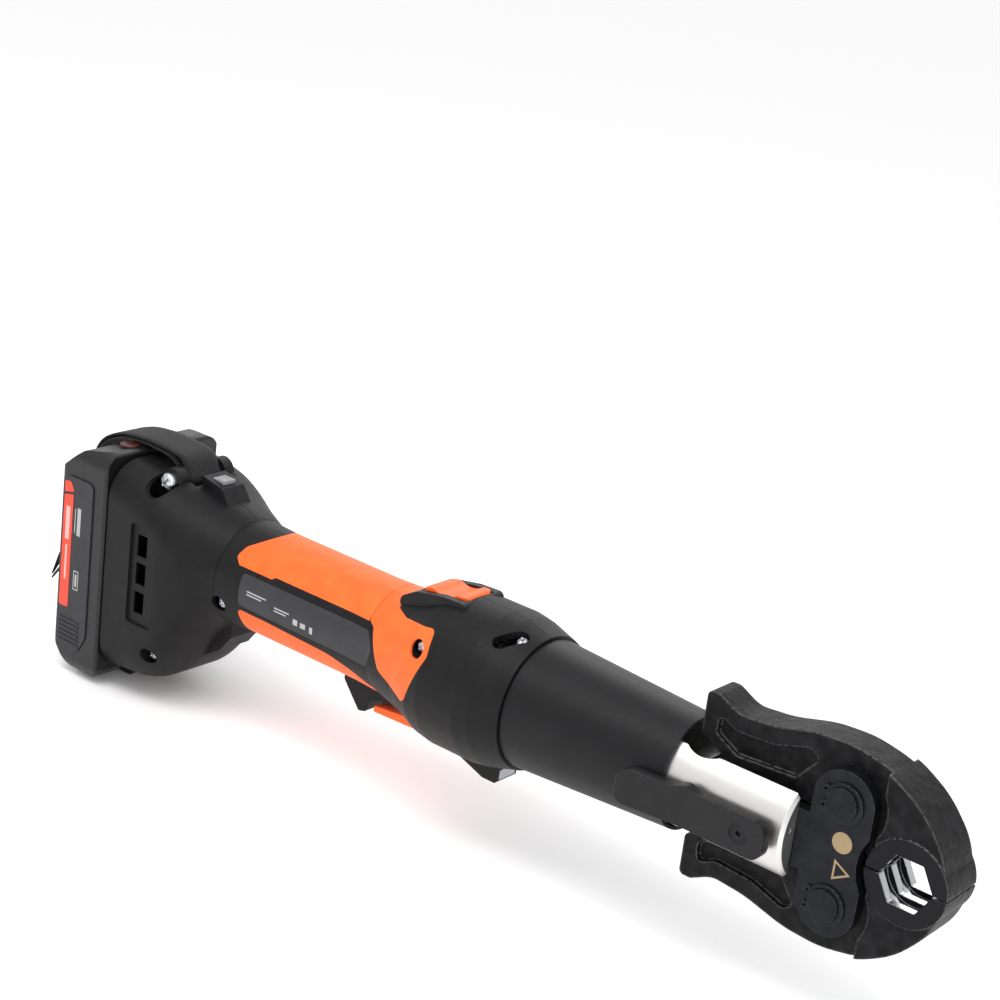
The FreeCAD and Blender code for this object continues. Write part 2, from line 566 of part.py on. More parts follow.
def part_nodes():
    right, left = halves(housing())
    rear_right, rear_left = halves(bulb_shell().cut(MOUNT_SEAM))
    labels = halves(grip(LABEL))
    cover, base, (side_r, side_l) = battery_parts()
    upper = upper_jaw()
    px, pz = jaw_pin_axis()
    pad = PAD.cut([BUTTON_POCKET])
    x, z = STRAP_BAR
    lever_pin = cyl_y(2, -11, 11, *TRIGGER_PIVOT)
    return {
        "housing_right": right, "housing_left": left,
        "rear_housing_right": rear_right, "rear_housing_left": rear_left,
        "grip_top": grip(TOP_GRIP), "grip_front": grip(FRONT_GRIP), "grip_bottom": grip(LOW_GRIP),
        "label_panel_right": labels[0], "label_panel_left": labels[1],
        "button_surround": pad, "trigger_guard": trigger_guard(),
        "work_lamp_body": work_lamp(), "work_lamp_lens": box(-16.5, -14.4, -5.5, 5.5, -42.7, -37.9),
        "status_light": box(-216.4, -208.6, -4.1, 4.1, 38.7, 41.8),
        "battery_mount": battery_mount(), "terminal_block": terminal_block(),
        "housing_screws": Part.makeCompound([screw(*s) for s in SCREWS] + [collar_screw()]),
        "strap_bar": cyl_y(BAR_R, -18, 16, x, z).fuse(cyl_y(4.6, -20.6, -18, x, z)),
        "wrist_strap": strap(), "barrel_sleeve": barrel_sleeve(),
        "motor_can": motor_can(), "gearbox_case": gearbox_case(), "pump_block": pump_block(),
        "hydraulic_cylinder": cylinder(), "oil_bladder": tube_x(26.3, CYLINDER_R + 0.1, 2, 24),
        "control_board": box(-244, -212, -16, 16, -46, -44.4), "trigger_switch": box(-96, -82, -6, 6, -20.4, -17.3),
        "trigger_pin": lever_pin, "motor_rotor": rotor(), "motor_fan": fan(),
        "eccentric_shaft": eccentric_shaft(), "trigger": trigger(), "release_button": release_button(),
        "battery_cover": cover, "battery_base": base, "battery_cells": Part.makeCompound(cells()),
        "battery_side_right": side_r[0], "battery_side_left": side_l[0],
        "battery_strip_right": side_r[1], "battery_strip_left": side_l[1],
        "battery_gauge": cyl_z(5, 42, 46.6, -266.5, -15),
        "battery_latch": box(LATCH[0], LATCH[1], -LATCH[2], LATCH[2], -79.2, -73.5),
        "fork": fork(), "side_plate_right": side_plate(-1), "side_plate_left": side_plate(1),
        "jaw_pins": Part.makeCompound([cyl_y(JAW_PIN_R, -15.8, 15.8, px, s * pz) for s in (-1, 1)]),
        "circlips": Part.makeCompound([circlip(s, t * pz) for s in (-1, 1) for t in (-1, 1)]),
        "piston_rod": piston_rod(), "roller_carriage": carriage(),
        "roller_pins": Part.makeCompound(roller_pins()),
        "roller_upper": roller(ROLLER_Z), "roller_lower": roller(-ROLLER_Z),
        "jaw_upper": upper, "jaw_lower": mirrored_z(upper),
        "retaining_pin": retaining_pin(), "pin_lever": pin_lever(), "lever_screw": lever_screw(),
    }


os.makedirs("parts", exist_ok=True)
for name, shape in part_nodes().items():
    shape = shape.copy()
    shape.translate(-ORIGIN)
    shape.exportStep(f"parts/{name}.step")
    box_of = shape.BoundBox
    solids = len(shape.Solids)
    print(f"{name:22s} solids {solids} volume {shape.Volume / 1000:8.2f} cm3 valid {shape.isValid()} "
          f"x {box_of.XMin:7.1f} {box_of.XMax:7.1f} y {box_of.YMin:6.1f} {box_of.YMax:6.1f} "
          f"z {box_of.ZMin:6.1f} {box_of.ZMax:6.1f}")
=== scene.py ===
# %% [markdown]
# # A cordless press tool
#
# The tool is an inline hydraulic press with a slide-on battery at the back, a soft orange grip, and
# a steel fork that holds a set of forged jaws. The frame below is the engineering model: it fixes
# where each piece is and how it moves. This file gives it a camera, light, finishes, and the small
# pieces that an engineering model leaves plain.

# %% Load the frame
import json
import math

import bmesh
import bpy
from mathutils import Matrix, Vector


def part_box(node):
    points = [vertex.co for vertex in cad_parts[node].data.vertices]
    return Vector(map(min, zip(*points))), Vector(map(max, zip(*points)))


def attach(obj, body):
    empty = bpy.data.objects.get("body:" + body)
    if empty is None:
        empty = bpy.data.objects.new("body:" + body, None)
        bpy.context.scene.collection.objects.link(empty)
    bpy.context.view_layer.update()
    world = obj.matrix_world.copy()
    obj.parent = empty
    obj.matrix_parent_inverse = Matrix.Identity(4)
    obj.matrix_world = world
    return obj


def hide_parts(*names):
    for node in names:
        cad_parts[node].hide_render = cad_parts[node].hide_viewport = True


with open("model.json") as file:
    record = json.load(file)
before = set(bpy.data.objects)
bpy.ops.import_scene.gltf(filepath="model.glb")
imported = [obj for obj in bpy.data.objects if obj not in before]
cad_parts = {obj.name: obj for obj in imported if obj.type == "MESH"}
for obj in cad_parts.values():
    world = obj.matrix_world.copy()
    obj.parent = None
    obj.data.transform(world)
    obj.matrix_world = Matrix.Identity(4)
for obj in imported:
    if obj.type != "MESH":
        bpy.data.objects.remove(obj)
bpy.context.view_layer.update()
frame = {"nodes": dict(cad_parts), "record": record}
nodes = frame["nodes"]
MM = 0.001

# %% [markdown]
# ## Places taken from the frame
#
# Everything that is added later hangs on a few places of the frame: the axis of the tool, the
# retaining pin, the mouth of the jaws, and the strap bar. They are read from the boxes of the
# nodes, so they stay right if the frame changes.

# %% Key places


def middle(node):
    low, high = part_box(node)
    return (low + high) / 2


AXIS_Z = middle("barrel_sleeve").z
PIN = middle("retaining_pin")
JAW_PINS = middle("jaw_pins")
PIN_TO_MOUTH = 67 * MM
MOUTH = Vector((PIN.x + PIN_TO_MOUTH, 0, AXIS_Z))
STRAP_BAR = Vector((middle("strap_bar").x, 0, middle("strap_bar").z))
COLLAR_GAP = 0.4 * MM         # open joint between the collar and the barrel sleeve
COLLAR_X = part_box("barrel_sleeve")[0].x - COLLAR_GAP
print("pin", [round(v, 4) for v in PIN], "mouth", [round(v, 4) for v in MOUTH])

# %% [markdown]
# ## Camera, floor and light
#
# A tool like this is shown with a longish lens, a little from above and from the front right, and
# with the camera rolled a few degrees, so that the tool lies on the diagonal. The three axes of
# the camera are written out, so that the roll is plain to see. The floor is one white sheet under
# a white world, and three large soft lights stand above the tool, to its right and to its left.

# %% Camera
TURN, TILT, ROLL = math.radians(37.439), math.radians(19.159), math.radians(7.216)
LENS, SENSOR = 77.99, 36.0
DISTANCE, SIDE, RISE = 975.6 * MM, -19.148 * MM, 91.687 * MM
AIM = Vector((60.0 * MM, 0, AXIS_Z))

back = Vector((math.sin(TURN) * math.cos(TILT), -math.cos(TURN) * math.cos(TILT), math.sin(TILT)))
level = Vector((math.cos(TURN), math.sin(TURN), 0))
upward = back.cross(level)
right = level * math.cos(ROLL) + upward * math.sin(ROLL)
up = upward * math.cos(ROLL) - level * math.sin(ROLL)

camera_data = bpy.data.cameras.new("camera")
camera_data.lens = LENS
camera_data.sensor_width = SENSOR
camera_data.clip_start = 0.01
camera = bpy.data.objects.new("camera", camera_data)
bpy.context.scene.collection.objects.link(camera)
place = AIM + right * SIDE + up * RISE + back * DISTANCE
camera.matrix_world = Matrix.Translation(place) @ Matrix((right, up, back)).transposed().to_4x4()
bpy.context.scene.camera = camera
print("camera at", [round(v, 3) for v in place])

# %% Floor and world
FLOOR_SIZE = 30.0


def linear(hex_colour, alpha=1.0):
    """An sRGB hex colour as the linear colour that a shader wants."""
    parts = [int(hex_colour[i:i + 2], 16) / 255 for i in (1, 3, 5)]
    return [c / 12.92 if c <= 0.04045 else ((c + 0.055) / 1.055) ** 2.4 for c in parts] + [alpha]


def feed(tree, socket, value):
    """Links the value if it is a socket, and writes it down if it is a plain number or colour."""
    if isinstance(value, bpy.types.NodeSocket):
        tree.links.new(value, socket)
    else:
        socket.default_value = value


def add(tree, kind, inputs=None, **settings):
    """One node, with its settings, and its inputs given as values or as sockets to link."""
    node = tree.nodes.new(kind)
    for name, value in settings.items():
        setattr(node, name, value)
    for name, value in (inputs or {}).items():
        feed(tree, node.inputs[name], value)
    return node


floor_mesh = bpy.data.meshes.new("floor")
half_floor = FLOOR_SIZE / 2
floor_mesh.from_pydata([(-half_floor, -half_floor, 0), (half_floor, -half_floor, 0),
                        (half_floor, half_floor, 0), (-half_floor, half_floor, 0)], [], [(0, 1, 2, 3)])
floor = bpy.data.objects.new("floor", floor_mesh)
bpy.context.scene.collection.objects.link(floor)
floor_paint = bpy.data.materials.new("pale_paper")
floor_paint.use_nodes = True
floor_paint.node_tree.nodes["Principled BSDF"].inputs["Base Color"].default_value = linear("#FDFDFD")
floor_paint.node_tree.nodes["Principled BSDF"].inputs["Roughness"].default_value = 0.9
floor_mesh.materials.append(floor_paint)

world = bpy.data.worlds.new("studio")
bpy.context.scene.world = world
world.use_nodes = True
world.node_tree.nodes["Background"].inputs["Color"].default_value = linear("#FBFBFC")
world.node_tree.nodes["Background"].inputs["Strength"].default_value = 1.0
bpy.context.scene.view_settings.view_transform = "Standard"
print("floor", FLOOR_SIZE, "m wide, world", world.name)

# %% Lights


def soft_light(name, place, aim, width, height, watts):
    """A large rectangular light at place, turned towards aim."""
    data = bpy.data.lights.new(name, "AREA")
    data.shape = "RECTANGLE"
    data.size, data.size_y, data.energy = width, height, watts
    light = bpy.data.objects.new(name, data)
    bpy.context.scene.collection.objects.link(light)
    light.location = place
    light.rotation_mode = "QUATERNION"
    light.rotation_quaternion = (Vector(aim) - Vector(place)).to_track_quat("-Z", "Y")
    return light


soft_light("key_above", (0.15, -0.45, 1.25), (0, 0, 0.08), 1.5, 0.5, 10)
soft_light("fill_right", (0.9, -1.1, 0.55), (0.05, 0, 0.08), 0.5, 0.9, 3)
soft_light("rim_left", (-0.3, 1.1, 0.8), (0, 0, 0.08), 1.4, 0.4, 5)
print("lights:", [light.name for light in bpy.data.lights])

# %% [markdown]
# ## How a finish is put together
#
# Each material is one shader with a grain. The grain is a noise whose size comes from a real size
# in millimetres. The frame's pieces are cut from solids and have knife-sharp edges, while moulded
# and forged edges are slightly round, so every finish also rounds its edges in shading with a
# Bevel node. The same node tells where an edge is, which is where black coatings wear bright;
# on the jaws that bright edge is also a painted highlight.

# %% Material helpers


def per_mm(size_mm):
    """Noise scale for a pattern whose grain is size_mm, as object coordinates are in metres."""
    return 1.0 / (size_mm * MM)


class Finish:
    """A Principled material under construction, with its coordinates at hand."""

    def __init__(self, name, colour, roughness, metallic=0.0, **sockets):
        self.material = bpy.data.materials.new(name)
        self.material.use_nodes = True
        self.tree = self.material.node_tree
        self.shader = self.tree.nodes["Principled BSDF"]
        self.shader.inputs["Base Color"].default_value = linear(colour)
        self.shader.inputs["Roughness"].default_value = roughness
        self.shader.inputs["Metallic"].default_value = metallic
        for socket, value in sockets.items():
            self.shader.inputs[socket.replace("_", " ")].default_value = value
        self.place = self.add("ShaderNodeTexCoord").outputs["Object"]
        self.colour = None
        self.normal = None

    def add(self, kind, inputs=None, **settings):
        return add(self.tree, kind, inputs, **settings)

    def maths(self, operation, a, b=0.0, c=0.0, clamp=False):
        node = self.tree.nodes.new("ShaderNodeMath")
        node.operation = operation
        node.use_clamp = clamp
        for socket, value in zip(node.inputs, (a, b, c)):
            feed(self.tree, socket, value)
        return node.outputs[0]

    def noise(self, size_mm, detail=3.0, stretch=(1, 1, 1)):
        scaled = self.add("ShaderNodeVectorMath", {0: self.place, 1: stretch}, operation="MULTIPLY")
        return self.add("ShaderNodeTexNoise", {"Vector": scaled.outputs[0], "Scale": per_mm(size_mm),
                                               "Detail": detail}).outputs["Fac"]

    def ramp(self, value, low, high):
        """Value mapped from low..high to 0..1, with soft ends."""
        return self.add("ShaderNodeMapRange", {"Value": value, "From Min": low, "From Max": high},
                        interpolation_type="SMOOTHSTEP").outputs["Result"]

    def mix(self, share, first, second):
        node = self.add("ShaderNodeMix", data_type="RGBA")
        for index, value in ((0, share), (6, first), (7, second)):
            feed(self.tree, node.inputs[index], value)
        return node.outputs[2]

    def round_edges(self, radius_mm):
        self.normal = self.add("ShaderNodeBevel", {"Radius": radius_mm * MM}, samples=4).outputs["Normal"]

    def edge_share(self, radius_mm):
        """About 1 on a sharp edge and 0 on a flat or gently curved surface."""
        soft = self.add("ShaderNodeBevel", {"Radius": radius_mm * MM}, samples=4).outputs["Normal"]
        sharp = self.add("ShaderNodeNewGeometry").outputs["Normal"]
        alike = self.add("ShaderNodeVectorMath", {0: soft, 1: sharp}, operation="DOT_PRODUCT")
        return self.ramp(alike.outputs["Value"], 0.998, 0.93)

    def bump(self, height, depth_mm, strength=1.0):
        inputs = {"Height": height, "Distance": depth_mm * MM, "Strength": strength}
        if self.normal is not None:
            inputs["Normal"] = self.normal
        self.normal = self.add("ShaderNodeBump", inputs).outputs["Normal"]

    def finish(self):
        if self.colour is not None:
            self.tree.links.new(self.colour, self.shader.inputs["Base Color"])
        if self.normal is not None:
            self.tree.links.new(self.normal, self.shader.inputs["Normal"])
        return self.material


# %% [markdown]
# ## Black nylon
#
# The housing is glass-filled nylon (PA6-GF), moulded in a spark-eroded tool. That gives a fine,
# even pebble grain and a soft, greyish sheen with no clear reflections. The two shells meet in a
# thin dark line along the top and the bottom, at Y = 0, and the handle meets the bulb in a ring.
#
# The labels of the tool are printed. Here they carry plain pale bars and blocks, which the finish
# draws from their middles and half sizes, so the same few lines serve every printed panel.

# %% Nylon and other plastics


NECK_MM = -186.6          # ring joint between the handle and the bulb, from the collar joint
SEAM_INK = "#08080A"
SEAM_FADE = (0.32 * MM, 0.12 * MM)      # the seam's line fades in between these distances from Y = 0
RING_FADE = (0.4 * MM, 0.15 * MM)       # the same for the ring joint
PRINT_INK = "#D2D2D0"
PRINT_FADE = 0.06                       # soft border of a printed bar, in mm
PRINT_COVER = 0.6                       # how much of the plastic the ink hides


def printed(f, bars):
    """1 inside any of the printed bars, each given by its middle and half size in X and Z, in mm."""
    split = f.add("ShaderNodeSeparateXYZ", {"Vector": f.place})
    ink = 0.0
    for x_mm, z_mm, half_x, half_z in bars:
        from_x = f.maths("ABSOLUTE", f.maths("SUBTRACT", split.outputs["X"], COLLAR_X + x_mm * MM))
        from_z = f.maths("ABSOLUTE", f.maths("SUBTRACT", split.outputs["Z"], AXIS_Z + z_mm * MM))
        inside_x = f.ramp(from_x, (half_x + PRINT_FADE) * MM, (half_x - PRINT_FADE) * MM)
        inside_z = f.ramp(from_z, (half_z + PRINT_FADE) * MM, (half_z - PRINT_FADE) * MM)
        ink = f.maths("MAXIMUM", ink, f.maths("MULTIPLY", inside_x, inside_z))
    return ink


def moulded(name, colour, pale, roughness, grain_mm, depth_mm, seam=False, edge_mm=0.6, bars=(),
            gloss=0.28, **sockets):
    """A moulded plastic: mottled colour, pebble grain, rounded edges, and plain printed bars if any."""
    f = Finish(name, colour, roughness, Specular_IOR_Level=gloss, **sockets)
    mottle = f.noise(9.0, 3.0)
    f.colour = f.mix(f.ramp(mottle, 0.3, 0.75), linear(colour), linear(pale))
    f.round_edges(edge_mm)
    grain = f.noise(grain_mm, 2.0)
    f.bump(grain, depth_mm)
    rough = f.add("ShaderNodeMapRange", {"Value": f.noise(1.7, 2.0), "To Min": roughness - 0.06,
                                         "To Max": roughness + 0.06}).outputs["Result"]
    f.tree.links.new(rough, f.shader.inputs["Roughness"])
    if seam:
        across = f.add("ShaderNodeSeparateXYZ", {"Vector": f.place}).outputs["Y"]
        line = f.ramp(f.maths("ABSOLUTE", across), *SEAM_FADE)
        along = f.add("ShaderNodeSeparateXYZ", {"Vector": f.place}).outputs["X"]
        from_neck = f.maths("ABSOLUTE", f.maths("SUBTRACT", along, COLLAR_X + NECK_MM * MM))
        line = f.maths("MAXIMUM", line, f.ramp(from_neck, *RING_FADE))
        f.colour = f.mix(line, f.colour, linear(SEAM_INK))
        f.bump(f.maths("SUBTRACT", 1.0, line), 0.4)
    if bars:
        f.colour = f.mix(f.maths("MULTIPLY", printed(f, bars), PRINT_COVER), f.colour, linear(PRINT_INK))
    return f.finish()


# middle in X and Z from the collar joint and the axis, then half sizes, in mm
LABEL_BARS = [(-158, 3.4, 6.5, 0.34), (-159.5, 1.9, 5.0, 0.34), (-140.5, 1.6, 5.0, 0.34),
              (-141.5, 0.1, 4.0, 0.34), (-131, -1.0, 1.5, 1.5), (-126, -1.2, 1.7, 1.3),
              (-120.6, -1.6, 1.0, 1.7)]
PANEL_BARS = [(-275.4, 5.5, 1.3, 7.5), (-278.3, 5.5, 0.3, 6.5), (-275.4, -21.5, 1.7, 0.3),
              (-275.4, -31.5, 1.7, 0.3), (-277.1, -26.5, 0.25, 5.2), (-273.7, -26.5, 0.25, 5.2),
              (-275.4, -26.5, 0.7, 3.4)]
STRIPE_BARS = [(-283.8, 3.0, 1.5, 9.0), (-283.8, -18.5, 0.7, 9.5)]

nylon = moulded("PA6_nylon_textured", "#0D0D0F", "#131315", 0.5, 0.45, 0.05, seam=True, gloss=0.2)
sleeve_nylon = moulded("PA6_nylon_turned_sleeve", "#0D0D0F", "#111114", 0.46, 0.35, 0.03, gloss=0.24)
surround_nylon = moulded("PA6_nylon_plain", "#0D0D0F", "#121214", 0.45, 0.5, 0.03, gloss=0.22)
battery_nylon = moulded("ABS_battery_shell", "#0B0B0D", "#101012", 0.36, 0.4, 0.03, edge_mm=0.9, gloss=0.4)
panel_plastic = moulded("ABS_label_panel", "#2A2A2D", "#303033", 0.45, 0.6, 0.03, bars=PANEL_BARS)
label_plastic = moulded("polycarbonate_rating_label", "#2F2F32", "#353538", 0.42, 0.8, 0.02, bars=LABEL_BARS)
fan_plastic = moulded("nylon_fan", "#202022", "#28282A", 0.5, 0.8, 0.03)
terminal_plastic = moulded("nylon_terminal_block", "#0F0F11", "#141416", 0.5, 0.8, 0.03)
print("plastics made")

# %% [markdown]
# ## Orange grip
#
# The grip is TPE, a thermoplastic rubber that is moulded over the nylon. It is matt and saturated,
# with a fine sand grain, and thin light goes a little way into it, so its shadows stay warm.

# %% Grip rubber
grip = moulded("TPE_soft_grip", "#F4611F", "#FA6B26", 0.55, 0.35, 0.05, edge_mm=0.5, Sheen_Weight=0.06)
button_orange = moulded("ABS_button", "#F35C1C", "#F96624", 0.4, 0.6, 0.02, edge_mm=0.5)
stripe = moulded("printed_coral_stripe", "#E8452F", "#EE4D37", 0.42, 0.8, 0.01, edge_mm=0.1,
                 bars=STRIPE_BARS)
gauge = moulded("PC_gauge_button", "#3A1511", "#4A1B15", 0.3, 1.0, 0.01)
print("grip, buttons, stripe and gauge made")

# %% [markdown]
# ## Steel
#
# The fork is turned stainless steel, so its marks run round it and its reflection is drawn out
# along the axis. The zinc-plated screws are pale and slightly blue. The motor, pump and gears are
# plain machined metal that only shows where the tool is open.

# %% Machined metals


def turned(name, colour, roughness, ring_mm, depth_mm, **sockets):
    """Metal turned in a lathe: rings that only change along X."""
    f = Finish(name, colour, roughness, 1.0, **sockets)
    f.round_edges(0.4)
    rings = f.noise(ring_mm, 2.0, stretch=(1, 0.02, 0.02))
    f.bump(rings, depth_mm)
    rough = f.add("ShaderNodeMapRange", {"Value": f.noise(6.0, 4.0), "To Min": roughness - 0.05,
                                         "To Max": roughness + 0.08}).outputs["Result"]
    f.tree.links.new(rough, f.shader.inputs["Roughness"])
    return f.finish()


fork_steel = turned("stainless_steel_satin_turned", "#DCDBD8", 0.36, 0.5, 0.012)
zinc = turned("zinc_plated_steel", "#C9CCD2", 0.25, 0.4, 0.005)
motor_steel = turned("galvanised_steel", "#9A9B9E", 0.42, 0.8, 0.01)
ground_steel = turned("ground_steel", "#A9A9AB", 0.3, 0.6, 0.006)
pump_metal = turned("cast_aluminium", "#A5A7A9", 0.45, 1.2, 0.02)
print("machined metals made")

# %% [markdown]
# ## Black-oxide plates and pin lever
#
# The side plates are ground flat and blackened, which leaves a dark, slightly blue, satin metal.
# They carry two laser marks, which burn the oxide to a tan colour. The marks here are a plain disc
# and a plain triangle. The pin lever is die-cast and powder-coated: black with a fine orange peel.

# %% Blackened steel


def blackened(name, colour, worn, roughness, wear_mm=0.35):
    """Dark coated steel: a cloudy colour, and bright chips where the edges are worn."""
    f = Finish(name, colour, roughness, 0.6, Specular_IOR_Level=0.35)
    cloud = f.noise(7.0, 5.0)
    base = f.mix(f.ramp(cloud, 0.35, 0.7), linear(colour), linear(worn))
    chips = f.ramp(f.noise(0.9, 4.0), 0.42, 0.62)
    edge = f.maths("MULTIPLY", f.edge_share(wear_mm), chips)
    f.colour = f.mix(f.maths("MULTIPLY", edge, 0.6), base, linear("#77767A"))
    f.round_edges(0.4)
    f.bump(f.noise(0.5, 3.0), 0.012)
    return f


DISC_AT, TRIANGLE_AT = (2.6, 6.2), (3.4, -6.4)      # from the jaw pins in X and the axis in Z, in mm
DISC_RADIUS = 4.6 * MM
TRIANGLE_OUT, TRIANGLE_IN = 2.7 * MM, 1.8 * MM      # centre to the outer and inner line of a side
MARKED_FACE = -13.2 * MM                            # only faces beyond this Y carry the marks
SOFT = 0.1 * MM


def plate_marks(f):
    """A tan disc and a tan triangle ring, a few millimetres across, between the two jaw pins."""
    split = f.add("ShaderNodeSeparateXYZ", {"Vector": f.place})
    x, y, z = (split.outputs[i] for i in range(3))

    def from_centre(x_mm, z_mm):
        along_x = f.maths("SUBTRACT", x, JAW_PINS.x + x_mm * MM)
        along_z = f.maths("SUBTRACT", z, AXIS_Z + z_mm * MM)
        return along_x, along_z

    a, b = from_centre(*DISC_AT)
    far = f.maths("SQRT", f.maths("ADD", f.maths("MULTIPLY", a, a), f.maths("MULTIPLY", b, b)))
    disc = f.ramp(far, DISC_RADIUS + SOFT, DISC_RADIUS - SOFT)
    a, b = from_centre(*TRIANGLE_AT)
    sides = []
    for turn in (0, 120, 240):
        angle = math.radians(turn + 60)
        part_a = f.maths("MULTIPLY", a, math.cos(angle))
        part_b = f.maths("MULTIPLY", b, math.sin(angle))
        sides.append(f.maths("ADD", part_a, part_b))
    widest = f.maths("MAXIMUM", f.maths("MAXIMUM", sides[0], sides[1]), sides[2])
    ring = f.maths("MULTIPLY", f.ramp(widest, TRIANGLE_OUT + SOFT / 2, TRIANGLE_OUT - SOFT / 2),
                   f.ramp(widest, TRIANGLE_IN - SOFT / 2, TRIANGLE_IN + SOFT / 2))
    near_side = f.ramp(y, MARKED_FACE + 2 * SOFT, MARKED_FACE - 2 * SOFT)
    speckle = f.maths("MULTIPLY_ADD", f.noise(0.4, 2.0), 0.5, 0.6, clamp=True)
    marks = f.maths("MULTIPLY", f.maths("MULTIPLY", f.maths("MAXIMUM", disc, ring), near_side), speckle)
    f.colour = f.mix(marks, f.colour, linear("#A8926F"))


plate_finish = blackened("black_oxide_ground_plate", "#15161A", "#1E1F24", 0.4)
plate_marks(plate_finish)
plate_steel = plate_finish.finish()
lever_finish = blackened("powder_coated_lever", "#0C0C0E", "#121215", 0.42, wear_mm=0.2)
lever_finish.shader.inputs["Metallic"].default_value = 0.15
lever_black = lever_finish.finish()
screw_black = blackened("black_oxide_screw", "#1A1A1C", "#242427", 0.35).finish()
pin_steel = blackened("oiled_steel_pin", "#4A4A4D", "#5B5B5E", 0.3).finish()
print("dark steels made")

# %% [markdown]
# ## Forged jaws
#
# The jaws are drop-forged, blasted and phosphated. The skin is rough like fine sand, with a greyer
# bloom on the high spots, and its corners are rubbed bright and carry a painted highlight. The
# mouth is different: it is machined after forging, so its lands and grooves are bare, polished
# steel. The finish finds the mouth by its distance from the mouth's axis, and leaves out the flat
# side faces. Those faces are milled in a ring round the mouth, so there the skin is smoother and darker.

# %% Forged steel
GROOVE_REACH = 13.7 * MM      # just past the radius of the grooves in the mouth
RING_REACH = 18.4 * MM        # just inside the edge of the milled ring
MOUTH_HALF = 12.0 * MM        # how far the polish reaches from Y = 0
CORNER_MM = 1.3               # how round the forged corners are, and how far in they are rubbed bright and painted with a highlight

jaw = Finish("forged_steel_phosphated", "#161618", 0.5, 0.45, Specular_IOR_Level=0.25)
bloom = jaw.ramp(jaw.noise(5.0, 6.0), 0.32, 0.72)
skin = jaw.mix(bloom, linear("#0E0E10"), linear("#202022"))
# Lighter grey in chips along the corners: rubbed wear, and a painted highlight where the edges would catch
# the light.
edge_wear_and_highlight = jaw.maths("MULTIPLY", jaw.edge_share(CORNER_MM), jaw.ramp(jaw.noise(1.6, 5.0), 0.34, 0.56))
skin = jaw.mix(jaw.maths("MULTIPLY", edge_wear_and_highlight, 0.8), skin, linear("#6F6D6A"))
from_mouth = jaw.add("ShaderNodeVectorMath", {0: jaw.place, 1: tuple(MOUTH)}, operation="SUBTRACT")
offset = jaw.add("ShaderNodeSeparateXYZ", {"Vector": from_mouth.outputs[0]})
dx, dz = offset.outputs["X"], offset.outputs["Z"]
radius = jaw.maths("SQRT", jaw.maths("ADD", jaw.maths("MULTIPLY", dx, dx), jaw.maths("MULTIPLY", dz, dz)))
flat_normal = jaw.add("ShaderNodeNewGeometry").outputs["True Normal"]
facing = jaw.add("ShaderNodeSeparateXYZ", {"Vector": flat_normal})
inward = jaw.maths("LESS_THAN", jaw.maths("ABSOLUTE", facing.outputs["Y"]), 0.5)
inside = jaw.maths("LESS_THAN", jaw.maths("ABSOLUTE", offset.outputs["Y"]), MOUTH_HALF)
wall = jaw.maths("MULTIPLY", inward, inside)
polished = jaw.maths("MULTIPLY", jaw.maths("LESS_THAN", radius, GROOVE_REACH), wall)
sideways = jaw.maths("SUBTRACT", 1.0, inward)
milled = jaw.maths("MULTIPLY", jaw.maths("LESS_THAN", radius, RING_REACH), sideways)
skin = jaw.mix(milled, skin, linear("#19191B"))
jaw.colour = jaw.mix(polished, skin, linear("#B9BABD"))
rough = jaw.maths("MULTIPLY_ADD", jaw.noise(2.5, 4.0), 0.3, 0.38)
rough = jaw.add("ShaderNodeMix", {0: polished, 2: rough, 3: 0.2}).outputs[0]
jaw.tree.links.new(rough, jaw.shader.inputs["Roughness"])
metal = jaw.add("ShaderNodeMix", {0: polished, 2: 0.55, 3: 1.0}).outputs[0]
jaw.tree.links.new(metal, jaw.shader.inputs["Metallic"])
jaw.round_edges(CORNER_MM)
rough_skin = jaw.maths("ADD", jaw.noise(0.9, 3.0), jaw.maths("MULTIPLY", jaw.noise(3.5, 2.0), 1.5))
as_forged = jaw.maths("SUBTRACT", 1.0, jaw.maths("MAXIMUM", polished, milled))
jaw.bump(jaw.maths("MULTIPLY", rough_skin, as_forged), 0.3)
jaw_steel = jaw.finish()
print("jaw finish made, polished within", round(GROOVE_REACH / MM, 1), "mm of the mouth's axis")

# %% [markdown]
# ## Small clear and soft things
#
# The lamp's lens is clear acrylic and the status window is frosted. The bladder, the circuit board
# and the cells are inside, so they only need a believable colour and gloss.

# %% Lens, window and inner parts
lens = Finish("acrylic_lens", "#DDE3EA", 0.08, Transmission_Weight=0.5, IOR=1.49)
lens.round_edges(0.3)
lens_clear = lens.finish()
window = Finish("frosted_window", "#77797C", 0.3)
frost = window.ramp(window.noise(2.0, 2.0), 0.3, 0.8)
window.colour = window.mix(frost, linear("#6E7073"), linear("#8A8C90"))
window.round_edges(0.3)
status_window = window.finish()
bladder = moulded("nitrile_bladder", "#1A1A1A", "#202020", 0.6, 1.0, 0.05)
board = moulded("FR4_circuit_board", "#12502A", "#17602F", 0.4, 0.8, 0.02)
cell = moulded("PVC_cell_sleeve", "#2A5A9A", "#3266A8", 0.3, 2.0, 0.01)
print("lens, window and inner parts made")

# %% [markdown]
# ## Dressing the frame
#
# Each node of the frame has a material slot in its record, named for the finish. One table says
# which material stands for which slot, so a node never needs a line of its own.

